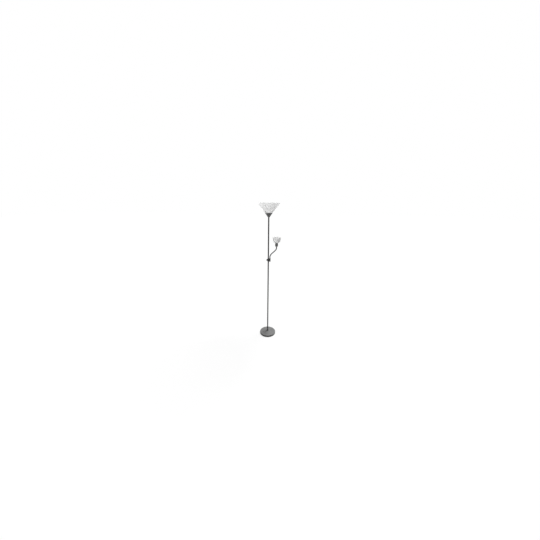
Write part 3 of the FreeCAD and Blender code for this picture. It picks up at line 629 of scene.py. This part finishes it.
lightShapes = {
    "uplight": {"shell": 18.6, "crest": 19.3, "shellHeight": 46, "bore": 13.6, "boreFloor": 18,
                "foot": [(22, 4, 0.3), (22, 6, 0.3)], "footFrom": 4, "pitch": 3.2, "threadFoot": 9,
                "threadTop": 43,
                "ring": [(19.4, 0), (24.3, 0), (24.3, 2.33), (21.8, 2.33), (21.8, 7), (19.4, 7)],
                "ribs": 30, "ribFrom": 22.4, "ribDepth": 0.7,
                "ball": 30, "neck": 12.5, "flare": 40, "length": 108, "capTop": 27},
    "reading": {"shell": 13.3, "crest": 13.9, "shellHeight": 37, "bore": 7.5, "boreFloor": 10.5,
                "foot": [], "footFrom": 2, "pitch": 2.6, "threadFoot": 4, "threadTop": 34,
                "ring": [(14, 0), (18.4, 0), (18.4, 2), (16.15, 2), (16.15, 6), (14, 6)],
                "ribs": 24, "ribFrom": 16.6, "ribDepth": 0.6,
                "ball": 22.5, "neck": 6.6, "flare": 60, "length": 78, "capTop": 26},
}
shellRounds = {"foot": 0.3, "step": 0.1, "mouth": 0.6, "floor": 0.4}
ribSteps = 6
bulbCapRound = 0.4


def lampholderShell(light, size, rounds):
    neckAt = size["foot"][-1][1] if size["foot"] else size["footFrom"]
    outline = [(0, 0), (size["crest"], 0, rounds["foot"]), (size["crest"], size["footFrom"], rounds["step"]),
               *size["foot"], (size["shell"], neckAt, rounds["step"]),
               (size["shell"], size["shellHeight"], rounds["mouth"]),
               (size["bore"], size["shellHeight"], rounds["mouth"]),
               (size["bore"], size["boreFloor"], rounds["floor"]), (0, size["boreFloor"])]
    thing = asObject(f"{light}_holder_shell", turnedShape(outline, soften=0))
    combine(thing, "UNION", [threadShape(size, threadForm)])
    thing.data.transform(Matrix.Translation(seatOf(f"{light}_socket_shell") * mm))
    return stand(dressed(thing, whiteMoulding), f"{light}_socket_shell")


def ribbedRing(size):
    # A moulded ring with finger grips round its flange.
    shape = turnedShape(size["ring"], soften=0.35, steps=size["ribs"] * ribSteps)
    for vert in shape.verts:
        reach = math.hypot(vert.co.x, vert.co.y)
        wave = 0.5 + 0.5 * math.cos(size["ribs"] * math.atan2(vert.co.y, vert.co.x))
        depth = min(1, max(0, reach / mm - size["ribFrom"])) * size["ribDepth"] * wave * mm
        vert.co.xy *= (reach - depth) / reach
    return shape


def bulbOutline(size):
    # A neck that flares into the ball, measured from the tip of the contact.
    flare, ball = math.radians(size["flare"]), size["ball"]
    throat = (ball * math.cos(flare) - size["neck"]) / (1 - math.cos(flare))
    join = (ball * math.cos(flare), size["length"] - ball - ball * math.sin(flare))
    flareFoot = (size["neck"], join[1] - throat * math.sin(flare))
    return ([(0, size["capTop"]), (size["neck"], size["capTop"], bulbCapRound)]
            + arc(flareFoot, join, -throat, count=10) + arc(join, (0, size["length"]), ball, count=28)[1:])


for light, size in lightShapes.items():
    lampholderShell(light, size, shellRounds)
    ring = asObject(f"{light}_clamp_ring", moved(ribbedRing(size), seatOf(f"{light}_shade_ring")))
    stand(dressed(ring, whiteMoulding), f"{light}_shade_ring")
    glass = turnedShape(bulbOutline(size), soften=0)
    glass = asObject(f"{light}_bulb", moved(glass, seatOf(f"{light}_bulb_cap")))
    stand(dressed(glass, slotMaterials["bulb_glass"]), f"{light}_bulb_globe")
print("lampholders and bulbs made")


# Uplight: spun cone cup and opal cone shade

cupShape = {"bore": 5.1, "foot": 9, "innerFoot": 8.38, "top": 46, "height": 53, "wall": 1.2, "side": 1.46,
            "rim": 0.55, "footRound": 0.8, "floorRound": 0.5}
cup = [(cupShape["bore"], 0), (cupShape["foot"], 0, cupShape["footRound"]),
       (cupShape["top"], cupShape["height"], cupShape["rim"]),
       (cupShape["top"] - cupShape["side"], cupShape["height"], cupShape["rim"]),
       (cupShape["innerFoot"], cupShape["wall"], cupShape["floorRound"]),
       (cupShape["bore"], cupShape["wall"])]
turnedPiece("cone_cup", "uplight_cup", cup, litSpunPaint, soften=0.1, steps=128)

shadeShape = {"hole": 19.5, "floorRadius": 28.22, "cupLevel": 22.8, "cupRadius": 44.14, "rim": 135,
              "height": 137.8, "wall": 2, "side": 2.55, "lowerSide": 2.44, "floorSide": 1.04,
              "rimRound": 0.95, "bend": 2.5, "floorBend": 0.8}
innerBend = shadeShape["cupRadius"] - shadeShape["lowerSide"]
innerFloor = shadeShape["floorRadius"] - shadeShape["floorSide"]
coneShade = [(shadeShape["hole"], 0), (shadeShape["floorRadius"], 0, shadeShape["floorBend"]),
             (shadeShape["cupRadius"], shadeShape["cupLevel"], shadeShape["bend"]),
             (shadeShape["rim"], shadeShape["height"], shadeShape["rimRound"]),
             (shadeShape["rim"] - shadeShape["side"], shadeShape["height"], shadeShape["rimRound"]),
             (innerBend, shadeShape["cupLevel"], shadeShape["bend"]),
             (innerFloor, shadeShape["wall"], shadeShape["floorBend"]),
             (shadeShape["hole"], shadeShape["wall"])]
turnedPiece("cone_shade", "uplight_shade", coneShade, opal, soften=0.2, steps=192)
print("uplight made")


# Reading light: spun cup and opal bell

smallCupShape = {"bore": 5.1, "flat": 9, "radius": 18, "height": 47, "wall": 1, "rim": 0.45}


def roundCup(size):
    bend = size["radius"] - size["flat"]
    inner = size["radius"] - size["wall"]
    return ([(size["bore"], 0)] + arc((size["flat"], 0), (size["radius"], bend), bend, count=12)
            + [(size["radius"], size["height"], size["rim"]), (inner, size["height"], size["rim"])]
            + arc((inner, bend), (size["flat"], size["wall"]), size["wall"] - bend, count=12)
            + [(size["bore"], size["wall"])])


turnedPiece("bell_cup", "reading_cup", roundCup(smallCupShape), litSpunPaint, soften=0.1)

bellShape = {"hole": 14.1, "floor": 20, "shoulder": 45, "shoulderHeight": 22, "rim": 53, "height": 67,
             "wall": 2, "rimRound": 0.9}


def bellOutline(size):
    def bow(reach, rise):
        return (reach ** 2 + rise ** 2) / (2 * rise)

    reach, rise, wall = size["shoulder"] - size["floor"], size["shoulderHeight"], size["wall"]
    outer, inner = bow(reach, rise), bow(reach - wall, rise - wall)
    return ([(size["hole"], 0)] + arc((size["floor"], 0), (size["shoulder"], rise), outer, count=14)
            + [(size["rim"], size["height"], size["rimRound"]),
               (size["rim"] - wall, size["height"], size["rimRound"])]
            + arc((size["shoulder"] - wall, rise), (size["floor"], wall), -inner, count=14)
            + [(size["hole"], wall)])


turnedPiece("bell_shade", "reading_shade", bellOutline(bellShape), opal, soften=0.2, steps=144)
print("reading light made")


# Neck: sleeves and a wound hose laid along the CAD's links, curving round each pivot

sleeveShape = {"bore": 3.5, "tail": 5, "collar": 8, "mouth": 6.9, "tailRound": 0.4, "collarRound": 0.3,
               "mouthRound": 0.2}
footSleeve = {"tailEnd": -12, "seat": 0, "collarTop": 3, "mouthEnd": 4.4}
headSleeve = {"tailEnd": 17, "seat": 9, "collarTop": 6, "mouthEnd": 4.3}
hoseShape = {"crest": 6.5, "valley": 5.75, "pitch": 3.2, "steps": 36, "tuck": 1.2, "samples": 24,
             "weld": 0.005, "sharp": math.radians(60),
             "turn": [(0, 0), (0.08, 0.4), (0.24, 0.86), (0.5, 1), (0.76, 0.86), (0.92, 0.4), (1, 0)]}
links = sorted(node for node in frame["nodes"] if node.startswith("neck_link_"))
jointAt = {joint["child"]: Vector(joint["pos_m"]) for joint in frame["record"]["behaviour"]["joints"]}
bodies = ["lamp"] + links + ["reading_head"]
pivots = [jointAt[body] for body in bodies[1:]]
sleeveSeat = seatOf("neck_lower_ferrule") - Vector((0, 0, footSleeve["tailEnd"]))


def sleeve(name, node, size, levels, seatMm):
    # A turned ferrule: a tail that goes into the holder, a collar, and a mouth that takes the hose.
    outline = [(size["bore"], levels["tailEnd"]), (size["tail"], levels["tailEnd"], size["tailRound"]),
               (size["tail"], levels["seat"], 0), (size["collar"], levels["seat"], size["collarRound"]),
               (size["collar"], levels["collarTop"], size["collarRound"]),
               (size["mouth"], levels["mouthEnd"], size["mouthRound"]), (size["bore"], levels["mouthEnd"])]
    shape = turnedShape(outline, soften=0.1, steps=64)
    return stand(dressed(asObject(name, moved(shape, seatMm)), paint), node)


sleeve("hose_foot_sleeve", "neck_lower_ferrule", sleeveShape, footSleeve, sleeveSeat)
sleeve("hose_head_sleeve", "neck_upper_ferrule", sleeveShape, headSleeve, pivots[-1] / mm)


def hoseLine(corners, ends, samples):
    # The smooth line that touches each link at its middle, with the length up to each of its points.
    line = [ends[0].copy()]
    for corner, start, end in zip(corners, ends, ends[1:]):
        for step in range(1, samples + 1):
            t = step / samples
            line.append(start * (1 - t) ** 2 + corner * 2 * t * (1 - t) + end * t ** 2)
    lengths = [0.0]
    for near, far in zip(line, line[1:]):
        lengths.append(lengths[-1] + (far - near).length)
    return line, lengths


def woundTube(size, length):
    # The section of one turn, wound up: each turn's upper edge is the next one's lower edge.
    shape = bmesh.new()
    across = size["crest"] - size["valley"]
    verts = [shape.verts.new(((size["valley"] + across * out) * mm, 0, (up - 1) * size["pitch"] * mm))
             for up, out in size["turn"]]
    edges = [shape.edges.new(pair) for pair in zip(verts, verts[1:])]
    turns = math.ceil(length / (size["pitch"] * mm)) + 2
    bmesh.ops.spin(shape, geom=edges + verts, cent=(0, 0, 0), axis=(0, 0, 1), angle=2 * math.pi * turns,
                   dvec=(0, 0, size["pitch"] / size["steps"] * mm), steps=turns * size["steps"])
    bmesh.ops.remove_doubles(shape, verts=shape.verts, dist=size["weld"] * mm)
    mesh = bpy.data.meshes.new("hose")
    shape.to_mesh(mesh)
    shape.free()
    return mesh


def hosePiece(name, whole, foot, top, size, line, lengths):
    # Cuts a stretch out of the straight hose, caps it and lays it along the line.
    shape = bmesh.new()
    shape.from_mesh(whole)
    for height, facing in ((foot, -1), (top, 1)):
        bmesh.ops.bisect_plane(shape, geom=shape.verts[:] + shape.edges[:] + shape.faces[:], dist=cutMm * mm,
                               plane_co=(0, 0, height), plane_no=(0, 0, facing), clear_outer=True)
    tidy(fillHoles(shape))
    # Each point's reach between valley and crest sets the hose's tone: painted shade in the seams, painted
    # light on the crests.
    crest = shape.verts.layers.float.new("crest")
    span = 0
    for vert in sorted(shape.verts, key=lambda vert: vert.co.z):
        reach = math.hypot(vert.co.x, vert.co.y) / mm
        vert[crest] = max(0, min(1, (reach - size["valley"]) / (size["crest"] - size["valley"])))
        while span < len(lengths) - 2 and lengths[span + 1] < vert.co.z:
            span += 1
        share = (vert.co.z - lengths[span]) / (lengths[span + 1] - lengths[span])
        along = line[span + 1] - line[span]
        before = line[span] - line[span - 1] if span else along
        after = line[span + 2] - line[span + 1] if span + 2 < len(line) else along
        heading = ((before.normalized() + along.normalized()) * (1 - share)
                   + (along.normalized() + after.normalized()) * share).normalized()
        centre = line[span].lerp(line[span + 1], share)  # the whole neck lies in the plane of X and Z
        vert.co = centre + Vector((heading.z, 0, -heading.x)) * vert.co.x + Vector((0, vert.co.y, 0))
    mesh = bpy.data.meshes.new(name)
    shape.to_mesh(mesh)
    shape.free()
    thing = bpy.data.objects.new(name, mesh)
    bpy.context.collection.objects.link(thing)
    return dressed(thing, hoseSteel, sharp=size["sharp"], evenNormals=False)


hoseFoot = (sleeveSeat + Vector((0, 0, footSleeve["mouthEnd"] - hoseShape["tuck"]))) * mm
hoseTop = pivots[-1] + Vector((0, 0, (headSleeve["mouthEnd"] + hoseShape["tuck"]) * mm))
middles = [hoseFoot] + [(low + high) / 2 for low, high in zip(pivots, pivots[1:])] + [hoseTop]
line, lengths = hoseLine(pivots, middles, hoseShape["samples"])
whole = woundTube(hoseShape, lengths[-1])
for index in range(len(pivots)):
    piece = hosePiece(f"hose_{index + 1:02d}", whole, lengths[index * hoseShape["samples"]],
                      lengths[(index + 1) * hoseShape["samples"]], hoseShape, line, lengths)
    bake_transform(piece)
    if index < len(links):
        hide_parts(links[index])
bpy.data.meshes.remove(whole)
print("neck made,", round(lengths[-1] / mm, 1), "mm of hose")


# Floor, light and camera

stageLook = {"size": 60, "floorTone": "#4e4e4e", "shadowTone": "#8a8a8a", "glow": 0.74, "sky": 0.15}
lamps = {"key": {"from": (0.36, 0.30, 0.88), "strength": 3.15, "softness": 30},
         "fill": {"from": (-0.80, -0.55, 0.15), "strength": 0.35, "softness": 60}}


def seenDirectly(tree):
    # One for camera, glossy and transmission rays.
    path = addNode(tree, "ShaderNodeLightPath", {})
    first = addNode(tree, "ShaderNodeMath", {"operation": "MAXIMUM"}, {0: path.outputs["Is Camera Ray"],
                                                                       1: path.outputs["Is Glossy Ray"]})
    return addNode(tree, "ShaderNodeMath", {"operation": "MAXIMUM"},
                   {0: first.outputs[0], 1: path.outputs["Is Transmission Ray"]}).outputs[0]


def paperFloor(look):
    # Matt paper sweep: it reads as white with a faint shadow, and throws little light back on the lamp.
    material = bpy.data.materials.new("matt paper sweep")
    material.use_nodes = True
    tree = material.node_tree
    tree.nodes.clear()
    bounce = addNode(tree, "ShaderNodeBsdfDiffuse", {"Color": linearColour(look["floorTone"])})
    shadow = addNode(tree, "ShaderNodeBsdfDiffuse", {"Color": linearColour(look["shadowTone"])})
    glow = addNode(tree, "ShaderNodeEmission", {"Strength": look["glow"]})
    seen = addNode(tree, "ShaderNodeAddShader", {}, {0: shadow.outputs[0], 1: glow.outputs[0]})
    mix = addNode(tree, "ShaderNodeMixShader", {},
                  {0: seenDirectly(tree), 1: bounce.outputs[0], 2: seen.outputs[0]})
    addNode(tree, "ShaderNodeOutputMaterial", {}, {"Surface": mix.outputs[0]})
    return material


sheet = bmesh.new()
bmesh.ops.create_grid(sheet, x_segments=2, y_segments=2, size=stageLook["size"] / 2)
floor = asObject("floor", sheet)
floor.data.materials.append(paperFloor(stageLook))

world = bpy.data.worlds.new("studio")
world.use_nodes = True
bpy.context.scene.world = world
world.node_tree.nodes.clear()
soft = addNode(world.node_tree, "ShaderNodeBackground", {"Color": (1, 1, 1, 1), "Strength": stageLook["sky"]})
white = addNode(world.node_tree, "ShaderNodeBackground", {"Color": (1, 1, 1, 1), "Strength": 1.0})
mix = addNode(world.node_tree, "ShaderNodeMixShader", {},
              {0: seenDirectly(world.node_tree), 1: soft.outputs[0], 2: white.outputs[0]})
addNode(world.node_tree, "ShaderNodeOutputWorld", {}, {"Surface": mix.outputs[0]})

for name, lamp in lamps.items():
    light = bpy.data.lights.new(name, "SUN")
    light.energy = lamp["strength"]
    light.angle = math.radians(lamp["softness"])
    thing = bpy.data.objects.new(name, light)
    thing.rotation_euler = Vector(lamp["from"]).to_track_quat("Z", "Y").to_euler()
    bpy.context.collection.objects.link(thing)

# The photograph's view: a wide lens as high as the lamp's top and 2.4 m in front, tilted down.
view = {"place": (0.0233, -2.408, 1.7994), "tilt": 0.3323, "roll": 0.0132, "focal": 194.9267, "frame": 540,
        "sensor": 36, "reach": 200}
camera = bpy.data.objects.new("camera", bpy.data.cameras.new("camera"))
bpy.context.collection.objects.link(camera)
camera.matrix_world = (Matrix.Translation(view["place"]) @ Matrix.Rotation(math.pi / 2 - view["tilt"], 4, "X")
                       @ Matrix.Rotation(view["roll"], 4, "Z"))
camera.data.sensor_width = view["sensor"]
camera.data.lens = view["focal"] / view["frame"] * view["sensor"]
camera.data.clip_end = view["reach"]
bpy.context.scene.camera = camera
bpy.context.scene.view_settings.view_transform = "Standard"
print("stage ready")
